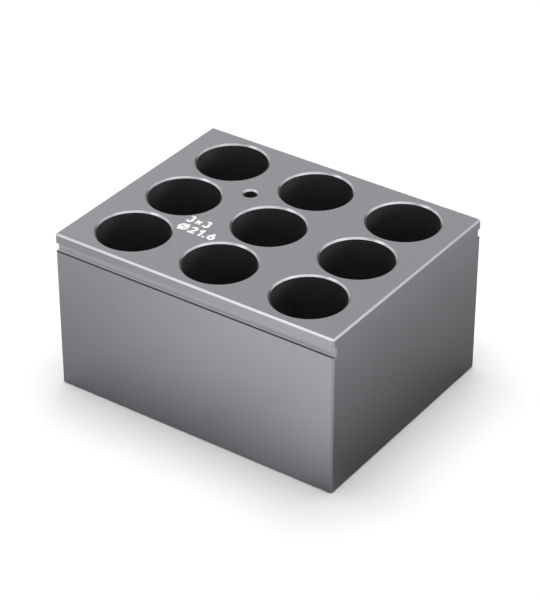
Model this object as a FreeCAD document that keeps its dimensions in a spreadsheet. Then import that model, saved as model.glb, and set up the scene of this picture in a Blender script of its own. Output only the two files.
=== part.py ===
import FreeCAD, Part
import math
import os
import Sketcher

# Heating block of a dry block heater: one aluminium billet with a grid of flat-bottomed vial wells,
# a sensor bore between four of them, a lifting groove along each long side, and a printed note of the
# wells on the top face. Sizes are in millimetres. The origin is the centre of the underside, +X runs
# along the block and +Z is up.

# Driving dimensions: the cell's alias, its value and what it measures.
SIZES = [
    ("block_length", 95, "length of the billet, along X"),
    ("block_width", 76, "width of the billet, along Y"),
    ("block_height", 51, "height of the billet, along Z"),
    ("edge_chamfer", 0.5, "chamfer on the upright edges and round the top face"),
    ("base_chamfer", 0.3, "chamfer round the underside"),
    ("well_columns", 3, "wells along X"),
    ("well_rows", 3, "wells along Y"),
    ("well_pitch_x", 30, "distance between the centres of two wells along X"),
    ("well_pitch_y", 24, "distance between the centres of two wells along Y"),
    ("well_diameter", 21.6, "bore of a well"),
    ("well_depth", 45, "depth of a well below the top face"),
    ("well_floor_radius", 0.8, "rounding between a well's wall and its floor"),
    ("mouth_chamfer", 0.5, "chamfer at the mouth of every bore"),
    ("mouth_angle", 90, "angle in degrees across the chamfer of a mouth"),
    ("sensor_diameter", 4, "bore for a temperature sensor"),
    ("sensor_depth", 40, "depth of the sensor bore's straight wall below the top face"),
    ("drill_point", 118, "angle in degrees of the cone at the end of the sensor bore"),
    ("lip_height", 3, "height of the lip above a lifting groove"),
    ("groove_height", 3, "height of a lifting groove"),
    ("groove_depth", 1, "depth of a lifting groove into the long side"),
    ("groove_radius", 0.3, "rounding in the inner corners of a lifting groove"),
    ("ink_thickness", 0.05, "thickness of the printed film"),
    ("mark_height", 3.6, "height of the printed figures"),
    ("mark_stroke", 0.85, "width of a printed stroke"),
    ("mark_left", -21.5, "left end of both printed lines, along X"),
    ("mark_gap", 0.5, "space between two printed figures"),
    ("upper_line", -11.3, "foot of the upper printed line, along Y"),
    ("lower_line", -15.9, "foot of the lower printed line, along Y"),
]

# The note on the top face: the grid of wells on the upper line, their diameter on the lower one.
NOTE = {"upper_line": "3×3", "lower_line": "⌀21.6"}

# The printed figures, each with its width and its strokes, in units of the figure's height and from
# the left end of its foot. A ring is its centre and outer radius, an arc has its two end angles as
# well, and a bar is the middle of its centre line, its length and its slope in degrees.
FIGURES = {
    "1": (0.48, [("bar", 0.36, 0.50, 1.00, 90), ("bar", 0.22, 0.78, 0.37, 40)]),
    "2": (0.66, [
        ("arc", 0.33, 0.67, 0.33, -38, 170),
        ("bar", 0.337, 0.335, 0.57, 52),
        ("bar", 0.33, 0.118, 0.66, 0),
    ]),
    "3": (0.64, [("arc", 0.31, 0.72, 0.28, -70, 160), ("arc", 0.32, 0.32, 0.32, -160, 80)]),
    "6": (0.70, [("ring", 0.35, 0.35, 0.35), ("bar", 0.267, 0.689, 0.58, 62)]),
    "×": (0.64, [("bar", 0.32, 0.40, 0.66, 45), ("bar", 0.32, 0.40, 0.66, 135)]),
    "⌀": (0.96, [("ring", 0.48, 0.50, 0.48), ("bar", 0.48, 0.50, 1.16, 60)]),
    ".": (0.24, [("bar", 0.12, 0.118, 0.24, 0)]),
}

TOLERANCE = 1e-6
VOLUME_SHARE = 0.001


def make_sheet(doc):
    """The table of driving dimensions that every size is bound to."""
    sheet = doc.addObject("Spreadsheet::Sheet", "Sizes")
    for row, (alias, value, meaning) in enumerate(SIZES, start=1):
        sheet.set(f"A{row}", meaning)
        sheet.set(f"B{row}", str(value))
        sheet.setAlias(f"B{row}", alias)
    doc.recompute()
    return sheet


def bind(item, formulas):
    """Ties properties of an object to the table."""
    for name, formula in formulas.items():
        item.setExpression(name, formula)


def origin_plane(body, role):
    """One of the body's own origin planes."""
    return next(item for item in body.Origin.OriginFeatures if item.Role == role)


def plane_sketch(body, name, role, place, slope=0):
    """A sketch on an origin plane, turned by a slope and moved along the plane's axes by three formulas."""
    sketch = body.newObject("Sketcher::SketchObject", name)
    sketch.AttachmentSupport = (origin_plane(body, role), "")
    sketch.MapMode = "FlatFace"
    turn = FreeCAD.Rotation(FreeCAD.Vector(0, 0, 1), slope)
    sketch.AttachmentOffset = FreeCAD.Placement(FreeCAD.Vector(), turn)
    bind(sketch, {f"AttachmentOffset.Base.{axis}": formula for axis, formula in zip("xyz", place)})
    return sketch


def draw_rectangle(sketch, length, width):
    """A rectangle about the sketch's origin, with its two sides bound to formulas."""
    corners = [FreeCAD.Vector(x, y, 0) for x, y in ((-1, -1), (1, -1), (1, 1), (-1, 1))]
    for index, corner in enumerate(corners):
        sketch.addGeometry(Part.LineSegment(corner, corners[(index + 1) % 4]))
    for index in range(4):
        sketch.addConstraint(Sketcher.Constraint("Coincident", index, 2, (index + 1) % 4, 1))
    for index, direction in enumerate(("Horizontal", "Vertical", "Horizontal", "Vertical")):
        sketch.addConstraint(Sketcher.Constraint(direction, index))
    sketch.addConstraint(Sketcher.Constraint("Symmetric", 0, 1, 1, 2, -1, 1))
    along = sketch.addConstraint(Sketcher.Constraint("DistanceX", 0, 1, 0, 2, 2))
    across = sketch.addConstraint(Sketcher.Constraint("DistanceY", 1, 1, 1, 2, 2))
    bind(sketch, {f"Constraints[{along}]": length, f"Constraints[{across}]": width})


def draw_circle(sketch, radius):
    """A circle about the sketch's origin, with its radius bound to a formula."""
    circle = Part.Circle(FreeCAD.Vector(), FreeCAD.Vector(0, 0, 1), 1)
    index = sketch.addGeometry(circle)
    sketch.addConstraint(Sketcher.Constraint("Coincident", index, 3, -1, 1))
    size = sketch.addConstraint(Sketcher.Constraint("Radius", index, 1))
    bind(sketch, {f"Constraints[{size}]": radius})


def draw_arc_band(sketch, outer, inner, start, end):
    """A part of a ring about the sketch's origin, between two angles in degrees."""
    axis = FreeCAD.Vector(0, 0, 1)
    arcs = []
    for radius, formula in ((2, outer), (1, inner)):
        circle = Part.Circle(FreeCAD.Vector(), axis, radius)
        index = sketch.addGeometry(Part.ArcOfCircle(circle, math.radians(start), math.radians(end)))
        sketch.addConstraint(Sketcher.Constraint("Coincident", index, 3, -1, 1))
        size = sketch.addConstraint(Sketcher.Constraint("Radius", index, radius))
        bind(sketch, {f"Constraints[{size}]": formula})
        arcs.append(index)
    for angle, arc_end in ((start, 1), (end, 2)):
        ray = FreeCAD.Rotation(axis, angle).multVec(FreeCAD.Vector(1, 0, 0))
        line = sketch.addGeometry(Part.LineSegment(ray, ray * 2))
        sketch.addConstraint(Sketcher.Constraint("Coincident", line, 1, arcs[1], arc_end))
        sketch.addConstraint(Sketcher.Constraint("Coincident", line, 2, arcs[0], arc_end))
        sketch.addConstraint(Sketcher.Constraint("Angle", line, math.radians(angle)))


def add_pad(body, name, sketch, length):
    """A solid drawn up from a sketch."""
    pad = body.newObject("PartDesign::Pad", name)
    pad.Profile = sketch
    bind(pad, {"Length": length})
    return pad


def add_hole(doc, body, name, place, formulas, drill_point):
    """A drilled hole down from the top face, with a chamfered mouth."""
    sketch = plane_sketch(body, f"{name}_centre", "XY_Plane", place + ["Sizes.block_height"])
    draw_circle(sketch, formulas["Diameter"] + " / 2")
    doc.recompute()
    hole = body.newObject("PartDesign::Hole", name)
    hole.Profile = sketch
    hole.DepthType = "Dimension"
    hole.DrillPoint = drill_point
    hole.HoleCutType = "Countersink"
    bind(hole, formulas)
    mouth = formulas["Diameter"] + " + 2 * Sizes.mouth_chamfer"
    bind(hole, {"HoleCutDiameter": mouth, "HoleCutCountersinkAngle": "Sizes.mouth_angle"})
    doc.recompute()
    return hole


def edges_where(feature, test):
    """Names of a feature's edges that pass a test of their end points."""
    names = []
    for index, edge in enumerate(feature.Shape.Edges, start=1):
        if test([vertex.Point for vertex in edge.Vertexes]):
            names.append(f"Edge{index}")
    return names


def level_at(height):
    """A test for edges that lie level at one height."""
    return lambda points: all(abs(point.z - height) < TOLERANCE for point in points)


def is_upright(points):
    """A test for edges that run straight up."""
    first, last = points[0], points[-1]
    return abs(first.x - last.x) + abs(first.y - last.y) < TOLERANCE < abs(first.z - last.z)


def dress_edges(doc, body, kind, name, base, edges, formulas):
    """A chamfer or a fillet on named edges of a feature."""
    dressing = body.newObject(f"PartDesign::{kind}", name)
    dressing.Base = (base, edges)
    bind(dressing, formulas)
    doc.recompute()
    return dressing


def make_block(doc, sheet):
    """The machined billet."""
    body = doc.addObject("PartDesign::Body", "heating_block")

    # The sawn and faced billet.
    plan = plane_sketch(body, "billet_plan", "XY_Plane", ["0", "0", "0"])
    draw_rectangle(plan, "Sizes.block_length", "Sizes.block_width")
    billet = add_pad(body, "billet", plan, "Sizes.block_height")

    # A square lifting groove along each long side, milled right through from end to end.
    groove_middle = "Sizes.block_height - Sizes.lip_height - Sizes.groove_height / 2"
    section = plane_sketch(body, "groove_section", "YZ_Plane", ["-Sizes.block_width / 2", groove_middle, "0"])
    draw_rectangle(section, "2 * Sizes.groove_depth", "Sizes.groove_height")
    front_groove = body.newObject("PartDesign::Pocket", "front_groove")
    front_groove.Profile = section
    front_groove.Type = "ThroughAll"
    front_groove.SideType = "Symmetric"
    grooves = body.newObject("PartDesign::Mirrored", "both_grooves")
    grooves.Originals = [front_groove]
    grooves.MirrorPlane = (origin_plane(body, "XZ_Plane"), [""])
    body.Tip = grooves
    doc.recompute()
    one_groove = sheet.block_length * sheet.groove_depth * sheet.groove_height
    check_cut("grooves", billet, grooves, 2 * one_groove)

    # Broken edges: the uprights, the top and the underside.
    edge_size = {"Size": "Sizes.edge_chamfer"}
    corners = edges_where(grooves, is_upright)
    uprights = dress_edges(doc, body, "Chamfer", "upright_edges", grooves, corners, edge_size)
    rim = edges_where(uprights, level_at(sheet.block_height))
    top = dress_edges(doc, body, "Chamfer", "top_edges", uprights, rim, edge_size)
    foot = edges_where(top, level_at(0))
    base = dress_edges(doc, body, "Chamfer", "base_edges", top, foot, {"Size": "Sizes.base_chamfer"})

    # The cutter's small corner radius inside each groove.
    groove_top = sheet.block_height - sheet.lip_height
    groove_heights = (groove_top, groove_top - sheet.groove_height)
    groove_wall = sheet.block_width / 2 - sheet.groove_depth

    def is_groove_corner(points):
        level = any(level_at(height)(points) for height in groove_heights)
        on_end_face = all(abs(abs(point.x) - sheet.block_length / 2) < TOLERANCE for point in points)
        inside = all(abs(point.y) < groove_wall + TOLERANCE for point in points)
        return level and inside and not on_end_face

    inner = edges_where(base, is_groove_corner)
    groove_size = {"Radius": "Sizes.groove_radius"}
    cleared = dress_edges(doc, body, "Fillet", "groove_corners", base, inner, groove_size)

    # One vial well, repeated in columns and rows about the middle of the block.
    first_place = [
        "-(Sizes.well_columns - 1) * Sizes.well_pitch_x / 2",
        "-(Sizes.well_rows - 1) * Sizes.well_pitch_y / 2",
    ]
    well_size = {"Diameter": "Sizes.well_diameter", "Depth": "Sizes.well_depth"}
    well = add_hole(doc, body, "well", first_place, well_size, "Flat")
    one_well = cleared.Shape.Volume - well.Shape.Volume
    wells = body.newObject("PartDesign::LinearPattern", "wells")
    wells.Originals = [well]
    wells.Direction = (well.Profile[0], ["H_Axis"])
    wells.Direction2 = (well.Profile[0], ["V_Axis"])
    bind(wells, {
        "Length": "(Sizes.well_columns - 1) * Sizes.well_pitch_x",
        "Occurrences": "Sizes.well_columns",
        "Length2": "(Sizes.well_rows - 1) * Sizes.well_pitch_y",
        "Occurrences2": "Sizes.well_rows",
    })
    body.Tip = wells
    doc.recompute()
    check_cut("wells", cleared, wells, sheet.well_columns * sheet.well_rows * one_well)

    # The rounding that the boring tool leaves round each well's floor.
    floor_edges = edges_where(wells, level_at(sheet.block_height - sheet.well_depth))
    floor_size = {"Radius": "Sizes.well_floor_radius"}
    floors = dress_edges(doc, body, "Fillet", "well_floors", wells, floor_edges, floor_size)

    # The sensor bore, halfway between four wells, with a drilled cone at its end.
    sensor_place = ["-Sizes.well_pitch_x / 2", "Sizes.well_pitch_y / 2"]
    sensor_size = {
        "Diameter": "Sizes.sensor_diameter",
        "Depth": "Sizes.sensor_depth",
        "DrillPointAngle": "Sizes.drill_point",
    }
    sensor = add_hole(doc, body, "sensor_bore", sensor_place, sensor_size, "Angled")
    taken = floors.Shape.Volume - sensor.Shape.Volume
    straight_bore = math.pi / 4 * sheet.sensor_diameter ** 2 * sheet.sensor_depth
    print(f"sensor bore takes {taken:.1f} mm3, its straight wall {straight_bore:.1f}")
    return body


def check_cut(name, before, after, expected):
    """Stops the build where a cut took away another volume than it should."""
    removed = before.Shape.Volume - after.Shape.Volume
    print(f"{name} take {removed:.1f} mm3")
    if abs(removed - expected) > VOLUME_SHARE * expected:
        raise RuntimeError(f"{name} should take {expected:.1f} mm3")


def add_stroke(body, name, stroke, left, foot):
    """One printed stroke on the top face, a thin film of ink."""
    kind, x, y, *shape = stroke
    place = [f"{left} + {x} * Sizes.mark_height", f"{foot} + {y} * Sizes.mark_height", "Sizes.block_height"]
    reach = f"{shape[0]} * Sizes.mark_height"
    if kind == "bar":
        sketch = plane_sketch(body, f"{name}_outline", "XY_Plane", place, slope=shape[1])
        draw_rectangle(sketch, reach, "Sizes.mark_stroke")
    else:
        sketch = plane_sketch(body, f"{name}_outline", "XY_Plane", place)
        hole = f"{reach} - Sizes.mark_stroke"
        if kind == "ring":
            draw_circle(sketch, reach)
            draw_circle(sketch, hole)
        else:
            draw_arc_band(sketch, reach, hole, *shape[1:])
    add_pad(body, name, sketch, "Sizes.ink_thickness")


def make_mark(doc):
    """The printed note, a separate film that lies on the top face."""
    body = doc.addObject("PartDesign::Body", "printed_mark")
    for line, text in NOTE.items():
        left = "Sizes.mark_left"
        for place, figure in enumerate(text):
            width, strokes = FIGURES[figure]
            for index, stroke in enumerate(strokes):
                add_stroke(body, f"{line}_{place}_{index}", stroke, left, f"Sizes.{line}")
            left += f" + {width} * Sizes.mark_height + Sizes.mark_gap"
    doc.recompute()
    return body


def check_document(doc, nodes):
    """Stops the build where a feature failed or a solid isn't sound."""
    for item in doc.Objects:
        if {"Invalid", "Error"} & set(item.State):
            raise RuntimeError(f"{item.Name} failed: {item.State}")
    for node in nodes:
        if node.Shape.isNull() or not node.Shape.isValid():
            raise RuntimeError(f"{node.Label} has no sound shape")


def main():
    doc = FreeCAD.newDocument("heating_block_model")
    sheet = make_sheet(doc)
    nodes = [make_block(doc, sheet), make_mark(doc)]
    check_document(doc, nodes)
    os.makedirs("parts", exist_ok=True)
    for node in nodes:
        node.Shape.exportStep(f"parts/{node.Label}.step")
        box = node.Shape.optimalBoundingBox()
        size = " x ".join(f"{side:.2f}" for side in (box.XLength, box.YLength, box.ZLength))
        print(f"{node.Label}: {len(node.Shape.Solids)} solids, {size} mm, {node.Shape.Volume:.1f} mm3")


main()
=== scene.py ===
# %% [markdown]
# # A heating block with nine vial wells
# A dry block heater warms its vials in a thick block of aluminium that drops into the heater's
# recess. The block is one machined billet with a small printed note, so the CAD model already holds
# its whole shape: nine wells, a sensor bore, two lifting grooves and every broken edge. What is left
# for Blender is the look: the satin of the blasted and anodised metal, the bare walls of the bores,
# the thin white print, and a studio that shows them. The solids are loaded first and are never moved
# or remeshed, because the wells have to keep the size of their vials.

# %% Load the machined block
import bpy
import math
from mathutils import Matrix, Vector


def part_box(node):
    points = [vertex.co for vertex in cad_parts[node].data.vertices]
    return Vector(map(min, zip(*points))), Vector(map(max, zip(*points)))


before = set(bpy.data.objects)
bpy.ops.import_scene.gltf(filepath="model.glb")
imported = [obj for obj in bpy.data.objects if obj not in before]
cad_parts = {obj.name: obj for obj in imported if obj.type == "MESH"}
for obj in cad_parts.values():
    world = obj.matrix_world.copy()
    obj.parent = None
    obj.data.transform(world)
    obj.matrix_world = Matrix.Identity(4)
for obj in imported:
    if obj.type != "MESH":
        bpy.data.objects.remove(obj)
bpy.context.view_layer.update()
MM = 0.001
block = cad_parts["heating_block"]
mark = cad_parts["printed_mark"]
block_low, block_high = (Vector(corner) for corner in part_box("heating_block"))
block_half = (block_high - block_low) / 2
block_middle = (block_high + block_low) / 2
print("block in mm:", [round(2 * side / MM, 2) for side in block_half])

# %% [markdown]
# ## The camera
# The block is seen over its front corner, from about a third of the way up to the zenith, through
# a long lens that keeps the uprights almost parallel. A camera could be set by eye and nudged, but
# the corners of a box give it exactly: their pixels fix two angles, a distance and a focal length.
# Those few numbers are kept as named values, with angles in degrees and lengths in metres. The turn
# is worked out from them with a track quaternion, so the camera needs no constraint and no target
# object.

# %% Place the camera
CAMERA_AZIMUTH = 34.93
CAMERA_ELEVATION = 32.94
CAMERA_DISTANCE = 0.7001
CAMERA_AIM = Vector((0, 0.0005, 0.0257))
FOCAL_LENGTH = 144.72


def direction(azimuth, elevation):
    """The unit vector from the block towards a place in the studio; azimuth 0 is in front of it."""
    turn, rise = math.radians(azimuth), math.radians(elevation)
    level = math.cos(rise)
    return Vector((math.sin(turn) * level, -math.cos(turn) * level, math.sin(rise)))


def facing(place, target):
    """A matrix at a place that looks at a target along its own -Z, as cameras and lamps do."""
    turn = (target - place).to_track_quat("-Z", "Y")
    return Matrix.LocRotScale(place, turn, None)


def add_object(name, data):
    """A new object in the scene."""
    item = bpy.data.objects.new(name, data)
    bpy.context.scene.collection.objects.link(item)
    return item


camera = add_object("camera", bpy.data.cameras.new("camera"))
camera.data.lens = FOCAL_LENGTH
camera_place = CAMERA_AIM + CAMERA_DISTANCE * direction(CAMERA_AZIMUTH, CAMERA_ELEVATION)
camera.matrix_world = facing(camera_place, CAMERA_AIM)
bpy.context.scene.camera = camera
bpy.context.scene.view_settings.view_transform = "Standard"
print("camera at", [round(value, 3) for value in camera_place], "m, lens", FOCAL_LENGTH, "mm")

# %% [markdown]
# ## Helpers for shader nodes
# Every finish below is a network of shader nodes. Made by hand in the editor, such a network is a
# few clicks a node. In a script each node takes a line to make, one for every value and one for
# every link, and the thought behind it gets lost. A few small helpers keep a node to one line. The
# first makes a node with its values and links, and the others name the sums that come up most: a
# plain sum, one with vectors, a smooth ramp and a weighted total.

# %% Define the node helpers
def add_node(tree, kind, inputs=None, **settings):
    """A new node with its settings, its plain input values and its links."""
    node = tree.nodes.new(kind)
    for name, value in settings.items():
        setattr(node, name, value)
    for name, value in (inputs or {}).items():
        if isinstance(value, bpy.types.NodeSocket):
            tree.links.new(value, node.inputs[name])
        else:
            node.inputs[name].default_value = value
    return node


def add_math(tree, operation, first, second=0.0):
    """The result of a Math node; each operand is a number or a socket."""
    return add_node(tree, "ShaderNodeMath", {0: first, 1: second}, operation=operation).outputs[0]


def add_vector_math(tree, operation, first, second=(0, 0, 0)):
    """The result of a Vector Math node, a number for a length and otherwise a vector."""
    node = add_node(tree, "ShaderNodeVectorMath", {0: first, 1: second}, operation=operation)
    return node.outputs["Value" if operation in ("LENGTH", "DOT_PRODUCT") else "Vector"]


def add_ramp(tree, value, start, end, low=0.0, high=1.0):
    """A number that runs smoothly from low to high while the value runs from start to end."""
    inputs = {"Value": value, "From Min": start, "From Max": end, "To Min": low, "To Max": high}
    return add_node(tree, "ShaderNodeMapRange", inputs, interpolation_type="SMOOTHSTEP").outputs[0]


def weigh(tree, start, *terms):
    """A start value plus each mask times its weight."""
    total = start
    for mask, weight in terms:
        inputs = {0: mask, 1: weight, 2: total}
        total = add_node(tree, "ShaderNodeMath", inputs, operation="MULTIPLY_ADD").outputs[0]
    return total


print("node helpers ready")

# %% [markdown]
# ## Helpers for groups and materials
# Metal and print share some effects, and so do paper and backdrop. Copied nodes would drift apart
# as soon as one copy is changed. A node group is built once and placed wherever it is needed, each
# time with its own values. One helper makes the frame of a group, one puts a group to use, and a
# third starts a material from nothing but its output.

# %% Define the group helpers
def new_group(name, inputs, outputs):
    """An empty node group with named sockets, and its own two ends."""
    group = bpy.data.node_groups.new(name, "ShaderNodeTree")
    for label, kind in inputs.items():
        group.interface.new_socket(label, in_out="INPUT", socket_type=f"NodeSocket{kind}")
    for label, kind in outputs.items():
        group.interface.new_socket(label, in_out="OUTPUT", socket_type=f"NodeSocket{kind}")
    given = group.nodes.new("NodeGroupInput").outputs
    result = group.nodes.new("NodeGroupOutput").inputs
    return group, given, result


def use_group(tree, group, inputs):
    """A node group placed in a node tree with its own values; gives its outputs."""
    return add_node(tree, "ShaderNodeGroup", inputs, node_tree=group).outputs


def new_material(name):
    """A material with nothing but its output node, and that node's surface socket."""
    material = bpy.data.materials.new(name)
    material.use_nodes = True
    material.node_tree.nodes.clear()
    return material, add_node(material.node_tree, "ShaderNodeOutputMaterial").inputs["Surface"]


print("group helpers ready")

# %% [markdown]
# ## A soft box of space
# Several later steps need to know whether a point lies inside a box: the paper, which is shaded
# near the block, the studio's dark cards, which fade out over a feathered rim, and the metal, whose
# bores are all that lies inside the billet's skin. A face could be marked with a vertex group or a
# second material, but a test of the place needs no change to the mesh. It is built once, as a node
# group with the feather as an input.

# %% Build the soft box group
def soft_box_group():
    """1 inside a box, and from its sides outwards a smooth fall to 0 over the feather."""
    inputs = {"Place": "Vector", "Middle": "Vector", "Half": "Vector", "Feather": "Float"}
    group, given, result = new_group("soft_box", inputs, {"Inside": "Float"})
    offset = add_vector_math(group, "SUBTRACT", given["Place"], given["Middle"])
    away = add_vector_math(group, "ABSOLUTE", offset)
    past = add_vector_math(group, "SUBTRACT", away, given["Half"])
    outside = add_vector_math(group, "LENGTH", add_vector_math(group, "MAXIMUM", past))
    inside = add_ramp(group, outside, 0.0, given["Feather"], 1.0, 0.0)
    group.links.new(inside, result["Inside"])
    return group


soft_box = soft_box_group()
print("group", soft_box.name, "with", len(soft_box.nodes), "nodes")

# %% [markdown]
# ## White for the camera, dark cards for the metal
# The block stands on white paper that runs out of the picture. One way to get white is more light,
# but that would bleach the metal. Here the lamps stay at a plain level and the paper is painted:
# rays that come straight from the camera, or by way of a mirror, find it and the backdrop a clean
# white, while the light itself finds an ordinary pale paper and a dim room. A photographer then
# shapes the metal with dark cards just out of the picture, which a face mirrors as a soft gradient.
# Real cards have to be kept out of sight and throw shadows, so these are painted shade in the paper
# and the backdrop, dark patches that mirrored rays alone can find.

# %% Define what each kind of ray finds
def for_seen_rays(tree, lit, seen):
    """One number for the light itself, and another for rays from the camera, a mirror or glass."""
    path = add_node(tree, "ShaderNodeLightPath").outputs
    mirrored = add_math(tree, "MAXIMUM", path["Is Glossy Ray"], path["Is Transmission Ray"])
    is_seen = add_math(tree, "MAXIMUM", path["Is Camera Ray"], mirrored)
    return weigh(tree, lit, (is_seen, seen - lit))


def card_shade(tree, place, cards):
    """1, and less for mirrored rays where a dark card of painted shade lies."""
    shade = 1.0
    for card in cards.values():
        box = {"Middle": card["middle"], "Half": card["half"], "Feather": card["feather"]}
        inside = use_group(tree, soft_box, {"Place": place} | box)["Inside"]
        shade = add_math(tree, "MULTIPLY", shade, weigh(tree, 1.0, (inside, -card["darkness"])))
    is_mirrored = add_node(tree, "ShaderNodeLightPath").outputs["Is Glossy Ray"]
    return add_ramp(tree, is_mirrored, 0.0, 1.0, 1.0, shade)


print("rays told apart")

# %% [markdown]
# ## The paper
# The paper is one large sheet with a matt finish. Near the block it keeps the shade that the lamps
# give it, so there is a soft shadow. Further out the light would fall off and leave a grey horizon,
# so there the paper turns into a plain white that meets the backdrop without a line. The cards are
# painted shade on the paper, a deeper shadow that only mirrored rays find. Two lie at the feet of the
# front and the right face and make them fade downwards. A wide one on the right makes that side the
# darker one, a small one does the same for the upright edge between the two, and one on the left
# holds back the far end of the front.

# %% Lay the paper
FLOOR_HALF = 3.0
SHADED_HALF = (0.3, 0.3, 0)
SHADED_FEATHER = 0.4
PAPER_LIT = 0.7
PAPER_SEEN = 1.0
# Each card is painted shade on the paper, found only by mirrored rays.
PAPER_SHADE_CARDS = {
    "front_foot": {
        "middle": (-0.038, -0.032, 0), "half": (0.036, 0.006, 0), "feather": 0.069, "darkness": 0.54,
    },
    "right_foot": {
        "middle": (0.049, 0.023, 0), "half": (0, 0.048, 0), "feather": 0.025, "darkness": 0.5,
    },
    "right": {
        "middle": (0.072, 0.043, 0), "half": (0, 0.059, 0), "feather": 0.076, "darkness": 0.7,
    },
    "corner": {
        "middle": (0.085, -0.064, 0), "half": (0.01, 0.01, 0), "feather": 0.045, "darkness": 0.22,
    },
    "left": {
        "middle": (-0.102, -0.089, 0), "half": (0.006, 0.007, 0), "feather": 0.098, "darkness": 0.34,
    },
}


def paper_material():
    """Matt white paper that is shaded near the block and plain white further out."""
    material, surface = new_material("studio_paper")
    tree = material.node_tree
    place = add_node(tree, "ShaderNodeTexCoord").outputs["Object"]
    near_inputs = {"Place": place, "Half": SHADED_HALF, "Feather": SHADED_FEATHER}
    near = use_group(tree, soft_box, near_inputs)["Inside"]
    far = add_math(tree, "SUBTRACT", 1.0, near)
    glow = add_math(tree, "MULTIPLY", far, for_seen_rays(tree, 0.0, 1.0))
    white = for_seen_rays(tree, PAPER_LIT, PAPER_SEEN)
    shaded = add_math(tree, "MULTIPLY", white, card_shade(tree, place, PAPER_SHADE_CARDS))
    level = add_math(tree, "MULTIPLY", shaded, add_math(tree, "SUBTRACT", 1.0, glow))
    inputs = {"Base Color": level, "Roughness": 1.0, "Specular IOR Level": 0.0}
    light = {"Emission Color": glow, "Emission Strength": 1.0}
    paper = add_node(tree, "ShaderNodeBsdfPrincipled", inputs | light)
    tree.links.new(paper.outputs[0], surface)
    return material


sheet = bpy.data.meshes.new("floor")
corners = [(x * FLOOR_HALF, y * FLOOR_HALF, 0) for x, y in ((-1, -1), (1, -1), (1, 1), (-1, 1))]
sheet.from_pydata(corners, [], [(0, 1, 2, 3)])
sheet.materials.append(paper_material())
floor = add_object("floor", sheet)
print("paper", 2 * FLOOR_HALF, "m wide with", len(PAPER_SHADE_CARDS), "cards")

# %% [markdown]
# ## The backdrop
# Round the paper the world stands in for a white backdrop in a dim room. The top of the block looks
# at it low behind the left rear corner, and would mirror a plain white there. A soft grey patch in
# that direction brings the top down to a middle grey. A dark one on the horizon lets the bright rims
# of the wells fade at their left ends, which look that way. Another on the ceiling keeps the depths
# of the wells dark, since the deeper a wall lies, the less it sees but the ceiling. In the world a
# place is a direction, so the same card test works on it.

# %% Paint the backdrop
ROOM_LIT = 0.12
ROOM_SEEN = 1.0
REAR = direction(192, 33)
HORIZON = direction(170, 7)
CEILING = (0, 0, 1)
ROOM_CARDS = {
    "rear": {"middle": REAR, "half": (0.28, 0.5, 0.085), "feather": 0.25, "darkness": 0.3},
    "horizon": {"middle": HORIZON, "half": (0.22, 0.1, 0.1), "feather": 0.12, "darkness": 0.95},
    "ceiling": {"middle": CEILING, "half": (0.45, 0.45, 0.1), "feather": 0.25, "darkness": 0.8},
}

world = bpy.data.worlds.new("studio")
world.use_nodes = True
room_tree = world.node_tree
room_tree.nodes.clear()
heading = add_node(room_tree, "ShaderNodeTexCoord").outputs["Generated"]
room_white = for_seen_rays(room_tree, ROOM_LIT, ROOM_SEEN)
room_level = add_math(room_tree, "MULTIPLY", room_white, card_shade(room_tree, heading, ROOM_CARDS))
room = add_node(room_tree, "ShaderNodeBackground", {"Color": room_level, "Strength": 1.0})
room_end = add_node(room_tree, "ShaderNodeOutputWorld")
room_tree.links.new(room.outputs[0], room_end.inputs["Surface"])
bpy.context.scene.world = world
print("backdrop", ROOM_LIT, "lit and", ROOM_SEEN, "seen, with", len(ROOM_CARDS), "cards")

# %% [markdown]
# ## Softboxes
# Satin metal has little colour of its own: it shows a blurred picture of whatever stands where each
# face looks. The broken edges look elsewhere than the faces beside them, and that is why they can
# shine as thin bright lines. The strips are there for that, each hung where one of them looks: in
# front for the front edge, at the rear for the right edge, over the camera for the far rims of the
# wells, on the left for the right ends of those rims, and low on the right for the left walls of the
# wells. Only mirrored rays find the strips, because they would wash out the shadow on the paper. A
# wide softbox overhead lights the paper and the print and casts that shadow, and mirrored rays don't
# find it. A lamp's power grows with its area, so the size of each softbox and its brightness are
# given, and the power is worked out from the two.

# %% Hang the softboxes
LIGHT_TARGET = Vector((0, 0, 0.03))
STUDIO_RADIUS = 1.2
STRIPS = {
    "front_strip": {"azimuth": -43, "elevation": 46, "width": 0.5, "height": 0.25, "brightness": 2.3},
    "left_strip": {"azimuth": -78, "elevation": 28, "width": 0.5, "height": 0.4, "brightness": 0.6},
    "camera_strip": {"azimuth": 45, "elevation": 58.5, "width": 2.9, "height": 0.3, "brightness": 2.1},
    "right_strip": {"azimuth": 118, "elevation": 14, "width": 0.8, "height": 0.3, "brightness": 8.0},
    "rear_strip": {"azimuth": 126, "elevation": 31, "width": 0.5, "height": 0.4, "brightness": 0.65},
}
OVERHEAD = {"azimuth": 236, "elevation": 83, "width": 1.06, "height": 1.06, "brightness": 4.93}


def hang_softbox(name, azimuth, elevation, width, height, brightness):
    """An area lamp of a given size and brightness, aimed at the block and unseen by the camera."""
    lamp = bpy.data.lights.new(name, "AREA")
    lamp.shape = "RECTANGLE"
    lamp.size = width
    lamp.size_y = height
    lamp.energy = brightness * math.pi * width * height
    softbox = add_object(name, lamp)
    place = LIGHT_TARGET + STUDIO_RADIUS * direction(azimuth, elevation)
    softbox.matrix_world = facing(place, LIGHT_TARGET)
    softbox.visible_camera = False
    return softbox


overhead = hang_softbox("overhead_softbox", **OVERHEAD)
overhead.visible_glossy = False
for name, strip in STRIPS.items():
    hang_softbox(name, **strip).visible_diffuse = False
print(len(STRIPS), "strips, and overhead", round(overhead.data.energy, 1), "W")

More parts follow.
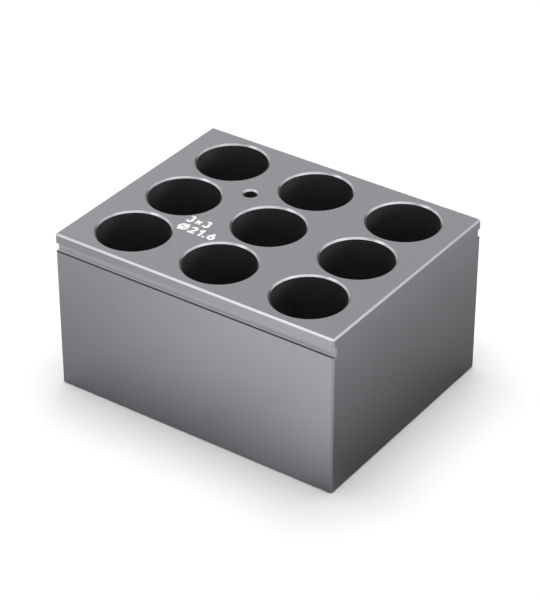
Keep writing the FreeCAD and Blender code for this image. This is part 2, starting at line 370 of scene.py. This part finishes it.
# %% [markdown]
# ## Blasted grain
# Before it is anodised, the block is blasted with fine glass beads. Each bead leaves a shallow dent
# about a fifth of a millimetre wide, and together the dents make the satin. The ink is so thin that
# it follows them, so metal and print share this effect. A picture texture would need UVs, which the
# CAD meshes don't have. Noise in the block's own space needs none: a fine one for the dents, and a
# broad one for the faint patches that blasting and anodising leave by hand.

# %% Build the grain group
DENT_DETAIL = 2.0
PATCH_DETAIL = 3.0


def blasted_grain_group():
    """Fine dents and broad patches, each a number about 0 that reaches to about -0.5 and 0.5."""
    inputs = {"Place": "Vector", "Dent Size": "Float", "Patch Size": "Float"}
    outputs = {"Dents": "Float", "Patches": "Float"}
    group, given, result = new_group("blasted_grain", inputs, outputs)
    layers = (("Dents", "Dent Size", DENT_DETAIL), ("Patches", "Patch Size", PATCH_DETAIL))
    for output, size, detail in layers:
        scale = add_math(group, "DIVIDE", 1.0, given[size])
        noise_inputs = {"Vector": given["Place"], "Scale": scale, "Detail": detail}
        noise = add_node(group, "ShaderNodeTexNoise", noise_inputs).outputs[0]
        group.links.new(add_math(group, "SUBTRACT", noise, 0.5), result[output])
    return group


blasted_grain = blasted_grain_group()
print("group", blasted_grain.name, "with", len(blasted_grain.nodes), "nodes")

# %% [markdown]
# ## Rubbed edges
# Edges take the knocks: the anodised skin is thinner there and gets rubbed bright, and the rim of a
# print wears thin first. A mask for that can be painted, or found from the mesh's pointiness, which
# needs a dense mesh. The Bevel node finds it on any mesh: it gives the normal of an edge as if it
# were rounded, and where that is unlike the true normal, an edge is near.

# %% Build the edge group
BEVEL_SAMPLES = 6
LIKENESS_AWAY = 0.995
LIKENESS_ON_EDGE = 0.9


def rubbed_edge_group():
    """1 on an edge, and 0 from about one radius away from it."""
    group, given, result = new_group("rubbed_edge", {"Radius": "Float"}, {"Edge": "Float"})
    bevel = add_node(group, "ShaderNodeBevel", {"Radius": given["Radius"]}, samples=BEVEL_SAMPLES)
    true_normal = add_node(group, "ShaderNodeNewGeometry").outputs["Normal"]
    likeness = add_vector_math(group, "DOT_PRODUCT", bevel.outputs[0], true_normal)
    group.links.new(add_ramp(group, likeness, LIKENESS_AWAY, LIKENESS_ON_EDGE), result["Edge"])
    return group


rubbed_edge = rubbed_edge_group()
print("group", rubbed_edge.name, "with", len(rubbed_edge.nodes), "nodes")

# %% [markdown]
# ## Three finishes on one solid
# The outside of the block is blasted and then anodised. The bores are bored to size after that, so
# their walls are bare metal with fine turning rings. The lifting grooves are milled, which leaves
# them dull. Their walls are lighter than the skin, partly from the milling and partly as painted
# light that makes up for the shade under the lip, and the ledge below is painted dark, a painted
# shade in the groove's inner corner. Each finish could be a material of its own, but the borders are
# plain to tell by place and by the way a face looks. So three masks do it, and the solid keeps its
# single slot.

# %% Tell the finishes apart
SKIN = Vector((1.0, 1.5, 0.6)) * MM
GROOVE_MIDDLE = Vector((0, 37.4, 46.5)) * MM
GROOVE_HALF = Vector((48, 0.45, 1.5)) * MM
BORDER = 0.05 * MM
TILTED, LEVEL = 0.9, 0.99


def finish_masks(tree, place):
    """Masks for the bored walls, for the milled grooves, and for the groove ledges that get painted
    shade.
    """
    core = {"Place": place, "Middle": block_middle, "Half": block_half - SKIN, "Feather": BORDER}
    bored = use_group(tree, soft_box, core)["Inside"]
    either_side = add_vector_math(tree, "ABSOLUTE", place)
    groove = {"Middle": GROOVE_MIDDLE, "Half": GROOVE_HALF, "Feather": BORDER}
    milled = use_group(tree, soft_box, {"Place": either_side} | groove)["Inside"]
    normal = add_node(tree, "ShaderNodeNewGeometry").outputs["Normal"]
    upward = add_node(tree, "ShaderNodeSeparateXYZ", {0: normal}).outputs["Z"]
    ledge = add_math(tree, "MULTIPLY", milled, add_ramp(tree, upward, TILTED, LEVEL))
    return bored, milled, ledge


print("skin in mm:", [round(side / MM, 2) for side in SKIN])

# %% [markdown]
# ## Dents and turning rings
# The dents of the blasting are half a micrometre deep, and the boring tool leaves rings three times
# as deep and a third of a millimetre apart. Both are far too fine to model: a displaced mesh would
# need millions of faces. They go in as a bump, with their real depth in metres. The rings are a sine
# of the height in the block, and the mask of the bores keeps them to the walls.

# %% Shape the relief
DENT_SIZE = 0.22 * MM
DENT_DEPTH = 0.5e-6
RING_PITCH = 0.3 * MM
RING_DEPTH = 1.5e-6


def metal_relief(tree, place, dent, bored):
    """Dents all over and turning rings in the bores, as a height in metres."""
    height = add_node(tree, "ShaderNodeSeparateXYZ", {0: place}).outputs["Z"]
    rings = add_math(tree, "SINE", add_math(tree, "MULTIPLY", height, 2 * math.pi / RING_PITCH))
    ring_depth = add_math(tree, "MULTIPLY", bored, RING_DEPTH)
    return weigh(tree, add_math(tree, "MULTIPLY", dent, DENT_DEPTH), (rings, ring_depth))


def bump_normal(tree, relief):
    """The normal of a surface with a relief that is given in metres."""
    inputs = {"Strength": 1.0, "Distance": 1.0, "Height": relief}
    return add_node(tree, "ShaderNodeBump", inputs).outputs[0]


print("dents", DENT_SIZE / MM, "mm wide, rings", RING_PITCH / MM, "mm apart")

# %% [markdown]
# ## Anodised aluminium
# The anodised skin is a middle grey with a trace of blue, fully metallic, with a satin that blurs a
# reflection by a few degrees. The bare bores are a neutral grey and a little duller. One Principled
# BSDF could only hold one of them, so its colour and its roughness are totals: a start value for the
# blasted skin, and a weight for each mask. Patches and dents make both a little uneven, and rubbed
# edges are lighter and smoother.

# %% Make the metal
METAL_GREY = (0.38, 0.385, 0.409)
BORED_GREY = (0.38, 0.38, 0.385)
BLASTED_ROUGHNESS = 0.28
BORED_ROUGHNESS = 0.35
MILLED_ROUGHNESS = 0.6
# Groove walls lighter: partly the milled finish, partly painted light against the shade under the lip.
MILLED_TONE_AND_PAINTED_LIGHT = 1.28
# Painted shade: the ledge in the groove's inner corner is darkened.
LEDGE_PAINTED_SHADE = 0.26
PATCH_SIZE = 16 * MM
PATCH_TONE, PATCH_ROUGHNESS = 0.03, 0.02
DENT_TONE, DENT_ROUGHNESS = 0.02, 0.015
EDGE_RADIUS = 0.15 * MM
EDGE_TONE, EDGE_ROUGHNESS = 0.08, -0.03


def scale_colour(tree, colour, factor):
    """A colour made lighter or darker by a factor."""
    inputs = {0: colour, "Scale": factor}
    return add_node(tree, "ShaderNodeVectorMath", inputs, operation="SCALE").outputs[0]


def metal_material():
    """Blasted and anodised aluminium with bored wells and milled grooves."""
    material, surface = new_material("anodised_aluminium")
    tree = material.node_tree
    place = add_node(tree, "ShaderNodeTexCoord").outputs["Object"]
    bored, milled, ledge = finish_masks(tree, place)
    grain_inputs = {"Place": place, "Dent Size": DENT_SIZE, "Patch Size": PATCH_SIZE}
    grain = use_group(tree, blasted_grain, grain_inputs)
    patch, dent = grain["Patches"], grain["Dents"]
    edge = use_group(tree, rubbed_edge, {"Radius": EDGE_RADIUS})["Edge"]

    change = Vector(BORED_GREY) - Vector(METAL_GREY)
    grey_inputs = {0: bored, 1: change, 2: METAL_GREY}
    grey = add_node(tree, "ShaderNodeVectorMath", grey_inputs, operation="MULTIPLY_ADD").outputs[0]
    # The milled weight is partly painted light and the ledge weight is painted shade in the grooves.
    tone_and_painted_light = weigh(
        tree, 1.0, (patch, PATCH_TONE), (dent, DENT_TONE), (edge, EDGE_TONE),
        (milled, MILLED_TONE_AND_PAINTED_LIGHT - 1), (ledge, LEDGE_PAINTED_SHADE - MILLED_TONE_AND_PAINTED_LIGHT),
    )
    roughness = weigh(
        tree, BLASTED_ROUGHNESS,
        (patch, PATCH_ROUGHNESS), (dent, DENT_ROUGHNESS), (edge, EDGE_ROUGHNESS),
        (bored, BORED_ROUGHNESS - BLASTED_ROUGHNESS), (milled, MILLED_ROUGHNESS - BLASTED_ROUGHNESS),
    )
    colour = scale_colour(tree, grey, tone_and_painted_light)
    normal = bump_normal(tree, metal_relief(tree, place, dent, bored))
    inputs = {"Base Color": colour, "Metallic": 1.0, "Roughness": roughness, "Normal": normal}
    metal = add_node(tree, "ShaderNodeBsdfPrincipled", inputs)
    tree.links.new(metal.outputs[0], surface)
    return material


block.material_slots[0].material = metal_material()
print("metal:", len(block.material_slots[0].material.node_tree.nodes), "nodes")

# %% [markdown]
# ## White ink
# The note beside the wells is screen printed: a matt white film a twentieth of a millimetre thick,
# which the CAD model holds as a solid of its own. It could be a decal in the metal's material, but a
# film with a real thickness catches a rim of light and stays sharp up close. The ink lies over the
# same dents, covers a little unevenly, and is thinner along its rim, where the grey shows through.

# %% Make the ink
INK_WHITE = (0.9, 0.9, 0.9)
INK_ROUGHNESS = 0.5
INK_RIM = 0.06 * MM
INK_PATCH = 2.5 * MM
PATCH_COVER, DENT_COVER, RIM_COVER = 0.08, 0.12, -0.12
INK_DENT_ROUGHNESS = 0.15


def ink_material():
    """Thin matt screen print."""
    material, surface = new_material("white_ink")
    tree = material.node_tree
    place = add_node(tree, "ShaderNodeTexCoord").outputs["Object"]
    grain_inputs = {"Place": place, "Dent Size": DENT_SIZE, "Patch Size": INK_PATCH}
    grain = use_group(tree, blasted_grain, grain_inputs)
    patch, dent = grain["Patches"], grain["Dents"]
    rim = use_group(tree, rubbed_edge, {"Radius": INK_RIM})["Edge"]
    cover = weigh(tree, 1.0, (patch, PATCH_COVER), (dent, DENT_COVER), (rim, RIM_COVER))
    colour = scale_colour(tree, INK_WHITE, cover)
    roughness = weigh(tree, INK_ROUGHNESS, (dent, INK_DENT_ROUGHNESS))
    normal = bump_normal(tree, add_math(tree, "MULTIPLY", dent, DENT_DEPTH))
    inputs = {"Base Color": colour, "Roughness": roughness, "Normal": normal}
    ink = add_node(tree, "ShaderNodeBsdfPrincipled", inputs)
    tree.links.new(ink.outputs[0], surface)
    return material


mark.material_slots[0].material = ink_material()
print("ink:", len(mark.material_slots[0].material.node_tree.nodes), "nodes")
